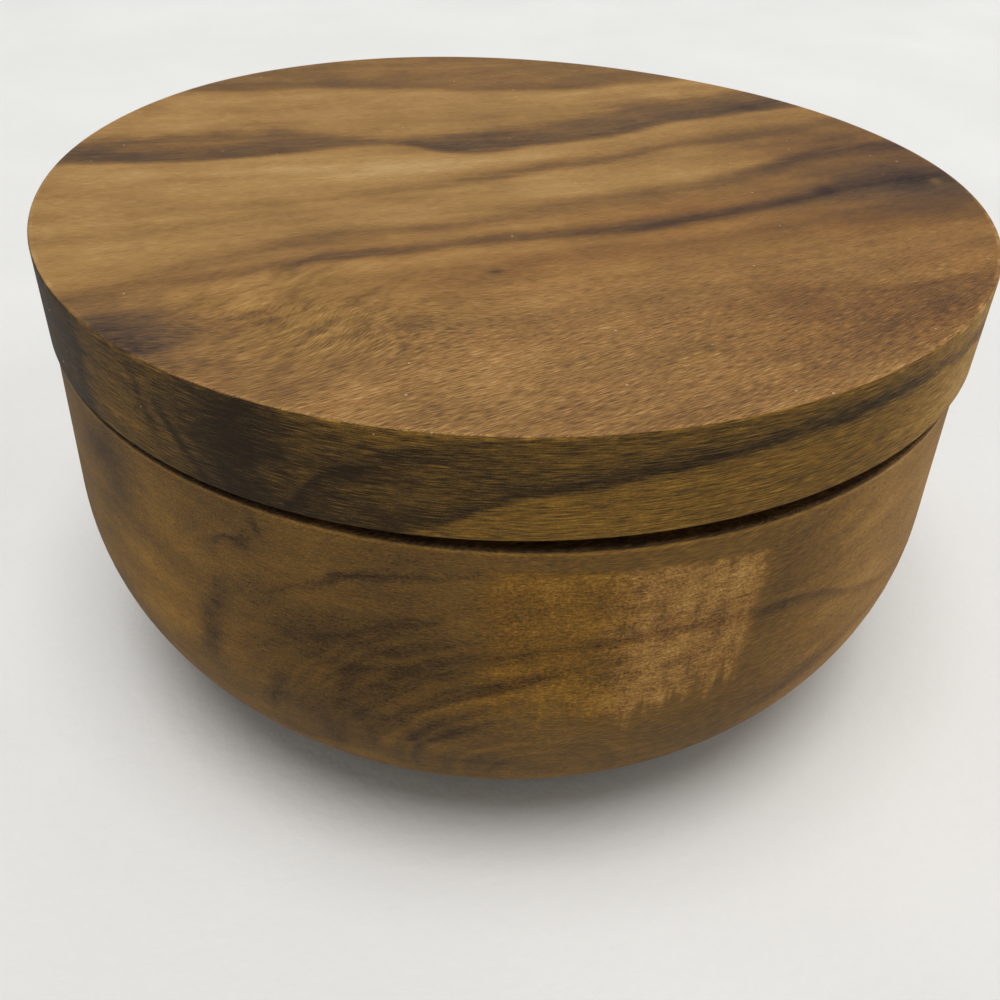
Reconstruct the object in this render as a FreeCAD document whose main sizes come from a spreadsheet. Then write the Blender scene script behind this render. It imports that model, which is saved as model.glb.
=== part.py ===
import FreeCAD, Part
import math
import os

import Sketcher
from FreeCAD import Vector

# Turned wooden salt and pepper cellar: a bowl with two compartments under a swivel lid.
# Millimetres and degrees. +Z is up and the origin is the middle of the bowl's flat foot.
# The lid's pivot pin stands in the rim on +Y, and the magnets that keep the lid shut meet on -Y.

SIZES = [
    # The lid. It stands a little past shut and leans up towards its free side.
    ("lid_diameter", 127.0),
    ("lid_thickness", 12.5),
    ("lid_arris", 0.45),
    ("lid_swing", 0.35),
    ("lid_cant", 0.75),
    # The bowl's turned outline, stepped in from the lid's edge at the rim, swelling to the belly.
    ("lid_overhang", 0.7),
    ("belly_swell", 0.6),
    ("foot_inset", 20.4),
    ("bowl_height", 55.0),
    ("belly_height", 33.5),
    ("rim_wall", 11.5),
    ("floor_thickness", 10.0),
    ("cavity_corner", 20.0),
    ("rim_arris", 0.5),
    ("mouth_arris", 1.2),
    # The slat between the compartments.
    ("divider_thickness", 6.0),
    ("divider_drop", 1.0),
    ("divider_arris", 1.5),
    ("groove_depth", 3.0),
    # The pivot.
    ("pin_diameter", 5.0),
    ("pin_seat", 8.0),
    ("pin_bevel", 0.6),
    ("bush_wall", 1.0),
    ("bush_length", 14.0),
    ("flange_diameter", 9.0),
    ("flange_thickness", 1.0),
    ("washer_thickness", 0.8),
    ("washer_proud", 0.2),
    # The magnets.
    ("magnet_diameter", 6.0),
    ("magnet_thickness", 3.0),
    ("magnet_bevel", 0.3),
    ("magnet_recess", 0.2),
    # Clearances, each on one side of a fit.
    ("glue_gap", 0.1),
    ("running_gap", 0.05),
    ("washer_gap", 0.15),
    ("lid_gap", 0.05),
    ("end_gap", 0.5),
]

doc = FreeCAD.newDocument("cellar")
sheet = doc.addObject("Spreadsheet::Sheet", "Dims")
for row, (alias, value) in enumerate(SIZES, start=1):
    sheet.set(f"A{row}", alias)
    sheet.set(f"B{row}", str(value))
    sheet.setAlias(f"B{row}", alias)
doc.recompute()

# Sizes that follow from the sheet, as expressions.
LID = "(Dims.lid_diameter / 2)"
RIM = f"({LID} - Dims.lid_overhang)"
BELLY = f"({RIM} + Dims.belly_swell)"
FOOT = f"({BELLY} - Dims.foot_inset)"
CAVITY = f"({RIM} - Dims.rim_wall)"
PIVOT = f"({RIM} - Dims.rim_wall / 2)"
PIN = "(Dims.pin_diameter / 2)"
BORE = f"({PIN} + Dims.running_gap)"
SLEEVE = f"({BORE} + Dims.bush_wall)"
FLANGE = "(Dims.flange_diameter / 2)"
SEAT = f"({FLANGE} + Dims.glue_gap)"
WASHER = f"({SEAT} - Dims.washer_gap)"
MAGNET = "(Dims.magnet_diameter / 2)"
MAGNET_POCKET = f"({MAGNET} + Dims.glue_gap)"

# Heights of the pivot's stack: washer on flange in a seat in the rim, and the lid's underside.
WASHER_TOP = "(Dims.bowl_height + Dims.washer_proud)"
WASHER_FLOOR = f"({WASHER_TOP} - Dims.washer_thickness)"
FLANGE_TOP = f"({WASHER_FLOOR} - Dims.running_gap)"
SEAT_FLOOR = f"({FLANGE_TOP} - Dims.flange_thickness)"
SEAT_DEPTH = f"(Dims.bowl_height - {SEAT_FLOOR})"
LID_UNDERSIDE = f"({WASHER_TOP} + {WASHER} * tan(Dims.lid_cant) + Dims.lid_gap)"


def number(expression):
    """The value an expression has with the sheet's present sizes."""
    return float(sheet.evalExpression(expression))


def new_body(label):
    """An empty body that is written under this label."""
    body = doc.addObject("PartDesign::Body", label)
    body.Label = label
    return body


def new_sketch(body, name, role):
    """A sketch on one of the body's own origin planes."""
    sketch = body.newObject("Sketcher::SketchObject", name)
    plane = next(f for f in body.Origin.OriginFeatures if f.Role == role)
    sketch.AttachmentSupport = [(plane, "")]
    sketch.MapMode = "FlatFace"
    return sketch


def bind(sketch, constraint, expression):
    """Add a dimension to a sketch and tie its value to an expression."""
    index = sketch.addConstraint(constraint)
    sketch.setExpression(f"Constraints[{index}]", expression)


def pin_point(sketch, edge, end, x, y):
    """Hold one end of an edge at the point (x, y), two expressions; "0" puts it on the axis."""
    for axis, kind, expression in ((-2, "DistanceX", x), (-1, "DistanceY", y)):
        if expression == "0":
            sketch.addConstraint(Sketcher.Constraint("PointOnObject", edge, end, axis))
        else:
            value = number(expression)
            bind(sketch, Sketcher.Constraint(kind, -1, 1, edge, end, value), expression)


def arc_between(start, end, centre):
    """The shorter arc from start to end, and whether it runs clockwise."""
    radius = (start - centre).Length
    first = math.atan2(start.y - centre.y, start.x - centre.x)
    last = math.atan2(end.y - centre.y, end.x - centre.x)
    clockwise = (last - first) % (2 * math.pi) > math.pi
    if clockwise:
        first, last = last, first
    return Part.ArcOfCircle(Part.Circle(centre, Vector(0, 0, 1), radius), first, last), clockwise


def tangent_centre(start, end, along):
    """Centre of the arc from start to end that leaves end in the direction along."""
    normal = Vector(-along.y, along.x, 0).normalize()
    chord = end - start
    return end - normal * (chord.dot(chord) / (2 * normal.dot(chord)))


def outline(sketch, corners):
    """Closed outline through corners (x, y, edge), x and y as expressions.

    The edge leads to the next corner: None for a line, a pair of expressions for an arc about
    that centre, "tangent" for an arc that runs smoothly into the line after it.
    """
    points = [Vector(number(x), number(y), 0) for x, y, _ in corners]
    count = len(corners)
    ends = []
    for index, (_, _, edge) in enumerate(corners):
        start, end = points[index], points[(index + 1) % count]
        after = points[(index + 2) % count]
        if edge is None:
            sketch.addGeometry(Part.LineSegment(start, end))
            ends.append((1, 2))
            continue
        if edge == "tangent":
            centre = tangent_centre(start, end, after - end)
        else:
            centre = Vector(number(edge[0]), number(edge[1]), 0)
        arc, clockwise = arc_between(start, end, centre)
        sketch.addGeometry(arc)
        ends.append((2, 1) if clockwise else (1, 2))
    for index, (x, y, edge) in enumerate(corners):
        following = (index + 1) % count
        join = "Tangent" if edge == "tangent" else "Coincident"
        sketch.addConstraint(
            Sketcher.Constraint(join, index, ends[index][1], following, ends[following][0]))
        pin_point(sketch, index, ends[index][0], x, y)
        if edge not in (None, "tangent"):
            radius = f"sqrt(({x} - {edge[0]})^2 + ({y} - {edge[1]})^2)"
            bind(sketch, Sketcher.Constraint("Radius", index, number(radius)), radius)


def turned(body, name, corners):
    """Revolve an outline of (radius, height) corners about the body's Z axis."""
    sketch = new_sketch(body, f"{name}_outline", "XZ_Plane")
    outline(sketch, corners)
    feature = body.newObject("PartDesign::Revolution", name)
    feature.Profile = sketch
    feature.ReferenceAxis = (sketch, ["V_Axis"])
    feature.Angle = 360
    doc.recompute()
    return feature


def circle_sketch(body, name, diameter, placement):
    """A sketch with one circle about the origin of a placement, given as an expression."""
    sketch = new_sketch(body, name, "XY_Plane")
    sketch.setExpression("AttachmentOffset", placement)
    radius = number(diameter) / 2
    sketch.addGeometry(Part.Circle(Vector(), Vector(0, 0, 1), radius))
    sketch.addConstraint(Sketcher.Constraint("Coincident", 0, 3, -1, 1))
    bind(sketch, Sketcher.Constraint("Diameter", 0, 2 * radius), diameter)
    doc.recompute()
    return sketch


def pocket(body, name, sketch, depth, upwards=False):
    """Cut a sketch into the body, downwards from its plane or upwards."""
    feature = body.newObject("PartDesign::Pocket", name)
    feature.Profile = sketch
    feature.setExpression("Length", depth)
    feature.Reversed = upwards
    doc.recompute()
    return feature


def placed(x, y, z, axis="0; 0; 1", angle="0"):
    """Expression of a placement at (x, y, z), turned about an axis."""
    return (f"create(<<placement>>; create(<<vector>>; {x}; {y}; {z}); "
            f"create(<<rotation>>; create(<<vector>>; {axis}); {angle}))")


def slat_outline(spread, top):
    """Corners of the cavity's middle section, spread into wall and floor, up to a flat top."""
    side = f"({CAVITY} + {spread})"
    bend = f"({CAVITY} - Dims.cavity_corner)"
    bend_height = "(Dims.floor_thickness + Dims.cavity_corner)"
    bottom = f"(Dims.floor_thickness - {spread})"
    return [
        (bend, bottom, (bend, bend_height)),
        (side, bend_height, None),
        (side, top, None),
        (f"-{side}", top, None),
        (f"-{side}", bend_height, (f"-{bend}", bend_height)),
        (f"-{bend}", bottom, None),
    ]


def make_bowl():
    """Turned bowl with a groove for the slat, the bush's seat and a magnet pocket in its rim."""
    body = new_body("bowl")
    top = "Dims.bowl_height"
    arris = "Dims.rim_arris"
    mouth = "Dims.mouth_arris"
    bend = f"({CAVITY} - Dims.cavity_corner)"
    bend_height = "(Dims.floor_thickness + Dims.cavity_corner)"
    turned(body, "bowl_turning", [
        ("0", "0", None),
        (FOOT, "0", "tangent"),
        (BELLY, "Dims.belly_height", None),
        (RIM, f"({top} - {arris})", (f"({RIM} - {arris})", f"({top} - {arris})")),
        (f"({RIM} - {arris})", top, None),
        (f"({CAVITY} + {mouth})", top, (f"({CAVITY} + {mouth})", f"({top} - {mouth})")),
        (CAVITY, f"({top} - {mouth})", None),
        (CAVITY, bend_height, (bend, bend_height)),
        (bend, "Dims.floor_thickness", None),
        ("0", "Dims.floor_thickness", None),
    ])

    groove = new_sketch(body, "groove_outline", "XZ_Plane")
    outline(groove, slat_outline("Dims.groove_depth", f"({top} + Dims.groove_depth)"))
    cut = pocket(body, "groove", groove, "Dims.divider_thickness + 2 * Dims.glue_gap")
    cut.SideType = "Symmetric"

    seat = circle_sketch(body, "seat_circle", f"2 * {SEAT}", placed("0", PIVOT, top))
    pocket(body, "washer_seat", seat, SEAT_DEPTH)
    sleeve = circle_sketch(
        body, "sleeve_circle", f"2 * ({SLEEVE} + Dims.glue_gap)", placed("0", PIVOT, top))
    pocket(body, "bush_hole", sleeve, f"{SEAT_DEPTH} + Dims.bush_length + Dims.end_gap")
    magnet = circle_sketch(
        body, "magnet_circle", f"2 * {MAGNET_POCKET}", placed("0", f"-{PIVOT}", top))
    pocket(body, "magnet_pocket", magnet, "Dims.magnet_thickness + Dims.magnet_recess")
    return body


def make_divider():
    """Slat that fills the groove but for its glue line, with its top edges eased."""
    body = new_body("divider")
    top = "(Dims.bowl_height - Dims.divider_drop)"
    sketch = new_sketch(body, "slat_outline", "XZ_Plane")
    outline(sketch, slat_outline("(Dims.groove_depth - Dims.glue_gap)", top))
    slat = body.newObject("PartDesign::Pad", "slat")
    slat.Profile = sketch
    slat.SideType = "Symmetric"
    slat.setExpression("Length", "Dims.divider_thickness")
    doc.recompute()

    height = number(top)
    long_edges = [
        f"Edge{index}" for index, edge in enumerate(slat.Shape.Edges, start=1)
        if edge.BoundBox.ZMin > height - 0.01 and edge.BoundBox.XLength > 1.0]
    eased = body.newObject("PartDesign::Fillet", "eased_top")
    eased.Base = (slat, long_edges)
    eased.setExpression("Radius", "Dims.divider_arris")
    doc.recompute()
    return body


# The lid's own frame has its origin in the middle of the underside. In the cellar it is turned
# about the pin, past shut, and leans about the pin so that its free side stands higher.
LID_PLACE = " * ".join([
    placed("0", PIVOT, LID_UNDERSIDE, "0; 0; 1", "Dims.lid_swing"),
    placed("0", "0", "0", "1; 0; 0", "-Dims.lid_cant"),
    placed("0", f"-{PIVOT}", "0"),
])


def make_lid():
    """Disc with an upright hole for the pin and a magnet pocket, both from its underside."""
    body = new_body("lid")
    arris = "Dims.lid_arris"
    top = "Dims.lid_thickness"
    inner = f"({LID} - {arris})"
    turned(body, "disc", [
        ("0", "0", None),
        (inner, "0", (inner, arris)),
        (LID, arris, None),
        (LID, f"({top} - {arris})", (inner, f"({top} - {arris})")),
        (inner, top, None),
        ("0", top, None),
    ])
    below = "Dims.pin_diameter"
    upright = placed("0", PIVOT, "0", "1; 0; 0", "Dims.lid_cant")
    start = f"{upright} * {placed('0', '0', f'-{below}')}"
    hole = circle_sketch(body, "pin_circle", f"2 * ({PIN} + Dims.running_gap)", start)
    pocket(body, "pin_hole", hole, f"{below} + Dims.pin_seat", upwards=True)
    magnet = circle_sketch(
        body, "lid_magnet_circle", f"2 * {MAGNET_POCKET}", placed("0", f"-{PIVOT}", "0"))
    pocket(body, "lid_magnet_pocket", magnet, "Dims.magnet_thickness + Dims.magnet_recess",
           upwards=True)
    body.setExpression("Placement", LID_PLACE)
    return body


def make_pin():
    """Bevelled dowel from the end of its hole in the lid down to just above the bush's end."""
    body = new_body("pivot_pin")
    bevel = "Dims.pin_bevel"
    low = f"({SEAT_FLOOR} - Dims.bush_length + Dims.end_gap)"
    high = f"({LID_UNDERSIDE} + Dims.pin_seat - Dims.running_gap)"
    narrow = f"({PIN} - {bevel})"
    turned(body, "dowel", [
        ("0", low, None),
        (narrow, low, None),
        (PIN, f"({low} + {bevel})", None),
        (PIN, f"({high} - {bevel})", None),
        (narrow, high, None),
        ("0", high, None),
    ])
    body.setExpression("Placement", placed("0", PIVOT, "0"))
    return body


def make_bush():
    """Flanged sleeve that lines the pin's hole in the rim."""
    body = new_body("pivot_bush")
    low = f"({SEAT_FLOOR} - Dims.bush_length)"
    turned(body, "sleeve", [
        (BORE, low, None),
        (SLEEVE, low, None),
        (SLEEVE, SEAT_FLOOR, None),
        (FLANGE, SEAT_FLOOR, None),
        (FLANGE, FLANGE_TOP, None),
        (BORE, FLANGE_TOP, None),
    ])
    body.setExpression("Placement", placed("0", PIVOT, "0"))
    return body


def make_washer():
    """Ring on the bush's flange that stands just proud of the rim."""
    body = new_body("pivot_washer")
    hole = f"({PIN} + Dims.washer_gap)"
    turned(body, "ring", [
        (hole, WASHER_FLOOR, None),
        (WASHER, WASHER_FLOOR, None),
        (WASHER, WASHER_TOP, None),
        (hole, WASHER_TOP, None),
    ])
    body.setExpression("Placement", placed("0", PIVOT, "0"))
    return body


def make_magnet(label, placement):
    """Bevelled disc with its inner face at its own origin and its outer face above."""
    body = new_body(label)
    bevel = "Dims.magnet_bevel"
    top = "Dims.magnet_thickness"
    narrow = f"({MAGNET} - {bevel})"
    turned(body, f"{label}_disc", [
        ("0", "0", None),
        (narrow, "0", None),
        (MAGNET, bevel, None),
        (MAGNET, f"({top} - {bevel})", None),
        (narrow, top, None),
        ("0", top, None),
    ])
    body.setExpression("Placement", placement)
    return body


RIM_MAGNET_FLOOR = "(Dims.bowl_height - Dims.magnet_thickness - Dims.magnet_recess)"
parts = [
    make_bowl(),
    make_divider(),
    make_lid(),
    make_pin(),
    make_bush(),
    make_washer(),
    make_magnet("rim_magnet", placed("0", f"-{PIVOT}", RIM_MAGNET_FLOOR)),
    make_magnet("lid_magnet", f"{LID_PLACE} * {placed('0', f'-{PIVOT}', 'Dims.magnet_recess')}"),
]
doc.recompute()

for item in doc.Objects:
    if "Invalid" in item.State or "Error" in item.State:
        raise RuntimeError(f"{item.Label} did not rebuild: {item.State}")
os.makedirs("parts", exist_ok=True)
for part in parts:
    if part.Shape.isNull() or not part.Shape.isValid() or len(part.Shape.Solids) != 1:
        raise RuntimeError(f"{part.Label} is not one sound solid")
    part.Shape.exportStep(f"parts/{part.Label}.step")
    box = part.Shape.BoundBox
    print(f"{part.Label:14s} {part.Shape.Volume:10.1f} mm3  "
          f"x {box.XMin:7.2f} {box.XMax:7.2f}  y {box.YMin:7.2f} {box.YMax:7.2f}  "
          f"z {box.ZMin:6.2f} {box.ZMax:6.2f}")
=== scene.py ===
# %% [markdown]
# # A turned cellar for salt and pepper
#
# The cellar is a bowl and a flat disc lid, both of a streaky golden-brown hardwood with a thin coat
# of oil. The lid swivels on a steel pin that stands hidden in the rim, and a pair of small magnets
# keeps it shut. The solids come from CAD, in metres, with the foot on z = 0 and the pin towards +Y.
# This lesson dresses them: it makes the lid again as a slightly twisted board, and gives every
# piece a finish that is worked out from its place on the piece, with no pictures.

import bpy
import numpy as np
from mathutils import Matrix, Vector


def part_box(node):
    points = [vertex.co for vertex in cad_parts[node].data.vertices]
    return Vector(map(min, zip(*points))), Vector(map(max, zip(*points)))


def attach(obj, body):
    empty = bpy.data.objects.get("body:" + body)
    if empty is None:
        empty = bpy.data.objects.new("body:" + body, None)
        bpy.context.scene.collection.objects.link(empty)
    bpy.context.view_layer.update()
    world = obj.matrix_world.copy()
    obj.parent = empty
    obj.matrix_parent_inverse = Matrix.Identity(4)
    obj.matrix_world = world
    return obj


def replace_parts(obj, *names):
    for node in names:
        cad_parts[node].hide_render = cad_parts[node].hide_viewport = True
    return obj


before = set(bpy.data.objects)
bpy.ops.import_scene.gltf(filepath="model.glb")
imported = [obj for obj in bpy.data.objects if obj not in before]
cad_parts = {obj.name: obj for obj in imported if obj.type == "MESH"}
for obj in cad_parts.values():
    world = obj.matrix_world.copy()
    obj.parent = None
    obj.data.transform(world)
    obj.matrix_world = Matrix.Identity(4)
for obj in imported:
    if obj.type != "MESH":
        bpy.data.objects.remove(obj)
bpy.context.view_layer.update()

MM = 0.001
print("nodes:", ", ".join(sorted(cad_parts)))

# %% [markdown]
# ## Camera
#
# The picture was taken by hand from close by, a little above the lid, so near things look large and
# the uprights lean together. Such a view is found by fitting: the lid's two edges, the rim and the
# bowl's outline fix how far away the camera stands, how high it is and how wide its lens is. The
# near rim is only 10 cm away, so the clip distance is shorter than Blender's own.

# %% Camera
camera_turn, camera_rise = np.radians(-20.0), 0.7086
camera_reach, camera_nod, camera_roll = 192.091, 0.0544, 0.0435
outwards = np.array([np.sin(camera_turn) * np.cos(camera_rise),
                     -np.cos(camera_turn) * np.cos(camera_rise), np.sin(camera_rise)])
level = np.array([np.cos(camera_turn), np.sin(camera_turn), 0.0])
upright = np.cross(level, -outwards)
sight = -outwards * np.cos(camera_nod) + upright * np.sin(camera_nod)
upright = np.cross(level, sight)
right = level * np.cos(camera_roll) + upright * np.sin(camera_roll)
above = upright * np.cos(camera_roll) - level * np.sin(camera_roll)

film_width, lens_per_width = 36.0, 1.0869
lens = bpy.data.cameras.new("camera")
lens.sensor_fit, lens.sensor_width = "HORIZONTAL", film_width
lens.lens = film_width * lens_per_width
lens.clip_start = 5.0 * MM
camera = bpy.data.objects.new("camera", lens)
bpy.context.scene.collection.objects.link(camera)
pose = np.eye(4)
pose[:3, 0], pose[:3, 1], pose[:3, 2] = right, above, -sight
pose[:3, 3] = camera_reach * MM * outwards
camera.matrix_world = Matrix(pose.tolist())
bpy.context.scene.camera = camera
print(f"lens {lens.lens:.1f} mm, camera {camera_reach:.0f} mm from the bowl's middle")

# %% [markdown]
# ## Sums with sockets
#
# A wood finish is mostly arithmetic: distances from drawn lines, noise that is drawn out along the
# grain, masks that are multiplied. Placing each Math node by hand would hide the formula, so a
# small class wraps a socket and lets Python's own operators add the nodes. Any other node comes
# from its one method, which sets the node's settings first and its sockets after them.

# %% The socket class
class Wire:
    """A socket of a node tree that Python can do sums with: each operator adds a Math node."""

    def __init__(self, socket):
        self.socket = socket

    def node(self, kind, settings=None, sockets=None, out=0):
        """Add a node: its settings first, then a number, colour or Wire on each named socket."""
        tree = self.socket.id_data
        made = tree.nodes.new(kind)
        for name, value in (settings or {}).items():
            if name == "stops":
                stops = made.color_ramp.elements
                while len(stops) < len(value):
                    stops.new(1.0)
                for stop, (position, colour) in zip(stops, value):
                    stop.position, stop.color = position, colour
            elif name == "points":
                made.mapping.extend = "HORIZONTAL"
                curve = made.mapping.curves[0]
                curve.points[0].location, curve.points[1].location = value[0], value[-1]
                for point in value[1:-1]:
                    curve.points.new(*point)
                made.mapping.update()
            else:
                setattr(made, name, value)
        for name, value in (sockets or {}).items():
            if isinstance(value, Wire):
                tree.links.new(value.socket, made.inputs[name])
            else:
                made.inputs[name].default_value = value
        return Wire(made.outputs[out])

    def maths(self, operation, *others):
        return self.node("ShaderNodeMath", {"operation": operation},
                         dict(enumerate((self, *others))))

    def reversed_maths(self, operation, other):
        return self.node("ShaderNodeMath", {"operation": operation}, {0: other, 1: self})

    def __add__(self, other):
        return self.maths("ADD", other)

    def __sub__(self, other):
        return self.maths("SUBTRACT", other)

    def __rsub__(self, other):
        return self.reversed_maths("SUBTRACT", other)

    def __mul__(self, other):
        return self.maths("MULTIPLY", other)

    def __truediv__(self, other):
        return self.maths("DIVIDE", other)

    def __pow__(self, other):
        return self.maths("POWER", other)

    def __neg__(self):
        return self * -1.0

    __radd__, __rmul__ = __add__, __mul__


print("operators:", [name for name in vars(Wire) if name.startswith("__") and name != "__init__"])

# %% [markdown]
# ## Drawing on wood
#
# Every finish below is put together from a few kinds of mark. A *drawn line* runs through points in
# millimetres, as one would pencil it on the board. A *soft step* is a mask that rises over a given
# distance, a *patch* is an oval that fades out, and a *streak* is a band that is crisp on one side
# of its line and fades on the other, which is how the dark heartwood streaks in this wood look.
# *Noise* is always given its own length along and across the grain.

# %% Marks
def drawn(place, points, span=128.0, reach=128.0):
    """Height of a line drawn through points (place, height), by a Float Curve node."""
    curve = place.node(
        "ShaderNodeFloatCurve",
        {"points": [(p / span + 0.5, h / reach + 0.5) for p, h in points]},
        {"Value": place / span + 0.5})
    return (curve - 0.5) * reach


def share(place, points, span=128.0):
    """An amount drawn through points, from 0 to 1 along a place."""
    return drawn(place, points, span, 2.0)


def soft_step(value, start, end):
    """0 before start and 1 after end, with a smooth rise between them."""
    return value.node("ShaderNodeMapRange", {"interpolation_type": "SMOOTHSTEP"},
                      {"Value": value, "From Min": start, "From Max": end})


def noise(x, y, z, detail=2.0, roughness=0.5, seed=0.0):
    """Smooth noise from 0 to 1, about 0.5; seed moves to another stretch of it."""
    place = x.node("ShaderNodeCombineXYZ", None, {0: x + seed, 1: y, 2: z})
    return place.node("ShaderNodeTexNoise", None,
                      {"Vector": place, "Scale": 1.0, "Detail": detail, "Roughness": roughness})


def bell(distance):
    """exp(-distance^2): 1 on the spot, fading to nothing about two units away."""
    return (-(distance * distance)).maths("EXPONENT")


def streak(distance, over, under):
    """A band on a line: it fades over one length above the line and another below it."""
    side = distance.maths("GREATER_THAN", 0.0)
    return bell(distance / (side * over + (1.0 - side) * under))


def patch(x, y, centre, size, turn=0.0):
    """A soft oval round a centre, of half-widths size, turned by degrees: bell of its radius."""
    c, s = np.cos(np.radians(turn)), np.sin(np.radians(turn))
    along = ((x - centre[0]) * float(c) + (y - centre[1]) * float(s)) / size[0]
    across = ((y - centre[1]) * float(c) - (x - centre[0]) * float(s)) / size[1]
    return (-(along * along + across * across)).maths("EXPONENT")


def blend(first, second, amount):
    """Mix two colours by an amount."""
    return amount.node("ShaderNodeMix", {"data_type": "RGBA"}, {0: amount, 6: first, 7: second}, 2)


def tint(red, green, blue):
    """A colour as it looks on a screen, 0 to 255, as the linear values that nodes use."""
    seen = np.array([red, green, blue]) / 255.0
    linear = np.where(seen <= 0.04045, seen / 12.92, ((seen + 0.055) / 1.055) ** 2.4)
    return (*(float(c) for c in linear), 1.0)


def ramp(value, stops):
    """Colours along a value, from stops (position, colour)."""
    return value.node("ShaderNodeValToRGB", {"stops": stops}, {0: value})


def angle_round(x, y):
    """Degrees round the axis: 0 at the front, growing to the right, with the seam at the back."""
    return x.maths("ARCTAN2", -y) * float(180.0 / np.pi)


def drawn_strokes(turn, fall, strokes):
    """Sum of patches, each given by angle, drop, half-length, half-width, lean and strength."""
    return sum(patch(turn, fall, stroke[:2], stroke[2:4], stroke[4]) * stroke[5]
               for stroke in strokes)


print("golden sapwood as linear colour:", [round(c, 3) for c in tint(186, 138, 80)])

# %% [markdown]
# ## Material and place
#
# Each finish starts from the place on the piece, in millimetres: Object coordinates, which stay
# with the piece when it moves. A Mapping node moves them to a frame that suits the piece, such as
# the lid's own, whose origin lies in the middle of its underside.

# %% Starting a finish
def new_finish(name, origin=(0.0, 0.0, 0.0), turn=(0.0, 0.0, 0.0)):
    """A material, and x, y and z in millimetres in the frame at origin (metres), turned by turn."""
    material = bpy.data.materials.new(name)
    material.use_nodes = True
    object_place = Wire(material.node_tree.nodes.new("ShaderNodeTexCoord").outputs["Object"])
    place = object_place.node("ShaderNodeMapping", {"vector_type": "TEXTURE"},
                              {"Vector": object_place, "Location": origin, "Rotation": turn,
                               "Scale": (MM, MM, MM)})
    axes = [place.node("ShaderNodeSeparateXYZ", None, {0: place}, axis) for axis in "XYZ"]
    return material, axes


def finish(material, colour, roughness, height, depth=1.0, **sockets):
    """Feed the Principled shader: colour, roughness, a bump of a height in mm, fixed sockets."""
    shader = material.node_tree.nodes["Principled BSDF"]
    normal = height.node("ShaderNodeBump", None,
                         {"Strength": depth, "Distance": MM, "Height": height})
    links = material.node_tree.links
    for name, wire in (("Base Color", colour), ("Roughness", roughness), ("Normal", normal)):
        links.new(wire.socket, shader.inputs[name])
    for name, value in sockets.items():
        shader.inputs[name.replace("_", " ")].default_value = value
    print(f"{material.name}: {len(material.node_tree.nodes)} nodes")


# %% [markdown]
# ## Grain
#
# Close up, the wood shows three things whatever its figure: fine growth lines, short fibres, and
# open pores, which are dark dashes a millimetre or two long. All of them follow the grain, so they
# take a place along the grain and one across it. The fibres' glints are painted into the colour as
# paler dashes, a painted highlight. The colour then comes from one tone, from nearly black
# heartwood to pale gold, plus a lean towards red or olive.

# %% Grain shared by all the wood
def fine_grain(along, across, deep):
    """Growth bands and fibres with their painted glints as tone changes about 0, and the relief of
    fibres and pores in mm.
    """
    bands = noise(along / 34.0, across / 2.6, deep / 2.6, 3.0, 0.6, 3.1) - 0.5
    strokes = noise(along / 5.0, across / 0.4, deep / 0.4, 2.0, 0.6, 7.7) - 0.5
    # fibres with painted glints: paler and darker dashes in the colour stand in for light caught on
    # the fibres
    fibres = noise(along / 1.7, across / 0.11, deep / 0.11, 2.0, 0.65, 1.9) - 0.5
    cell = along.node("ShaderNodeCombineXYZ", None,
                      {0: along / 1.5, 1: across / 0.24, 2: deep / 0.24})
    near = cell.node("ShaderNodeTexVoronoi", None, {"Vector": cell, "Scale": 1.0})
    pores = soft_step(near, 0.34, 0.12)
    return bands * 0.22, fibres * 1.2 + strokes * 0.22 - pores * 0.10, fibres * 0.06 - pores * 0.03


wood_tones = [
    (0.00, tint(44, 34, 31)), (0.18, tint(74, 58, 49)), (0.36, tint(103, 80, 58)),
    (0.54, tint(130, 98, 62)), (0.70, tint(157, 120, 72)), (0.86, tint(178, 140, 87)),
    (1.00, tint(196, 162, 112))]


def wood_colour(tone, redness, olive):
    """The colour of a tone, leaned towards red and towards olive by two amounts from 0 to 1."""
    plain = ramp(tone, wood_tones)
    redder = plain.node("ShaderNodeMix", {"data_type": "RGBA", "blend_type": "MULTIPLY"},
                        {0: redness, 6: plain, 7: (1.0, 0.86, 0.76, 1.0)}, 2)
    return plain.node("ShaderNodeMix", {"data_type": "RGBA", "blend_type": "MULTIPLY"},
                      {0: olive, 6: redder, 7: (0.90, 0.88, 0.42, 1.0)}, 2)


print(f"{len(wood_tones)} stops from heartwood to sapwood")

# %% [markdown]
# ## The lid's own frame
#
# The lid leans a little about the pin and stands a fraction of a degree past shut. Its frame is
# read from the solid: the disc is thinnest along its normal, which is the direction in which its
# rim's points spread least, and its y axis points at the pin.

# %% Measure the lid
def points_of(node):
    """The corner points of a CAD node as an array of rows, in metres."""
    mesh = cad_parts[node].data
    flat = np.empty(3 * len(mesh.vertices), np.float32)
    mesh.vertices.foreach_get("co", flat)
    return flat.reshape(-1, 3).astype(float)


def middle(node):
    """Middle of a node's box."""
    low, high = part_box(node)
    return (np.array(low) + np.array(high)) / 2


lid_points = points_of("lid")
from_middle = lid_points - middle("lid")
edge_from = 62.0 * MM
edge_points = from_middle[np.hypot(from_middle[:, 0], from_middle[:, 1]) > edge_from]
lid_up = np.linalg.svd(edge_points - edge_points.mean(0), full_matrices=False)[2][2]
lid_up *= np.sign(lid_up[2])
to_pin = middle("pivot_pin") - middle("lid")
lid_ahead = to_pin - lid_up * (to_pin @ lid_up)
lid_ahead /= np.linalg.norm(lid_ahead)
lid_aside = np.cross(lid_ahead, lid_up)
lid_axes = np.stack([lid_aside, lid_ahead, lid_up], axis=1)

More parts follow.
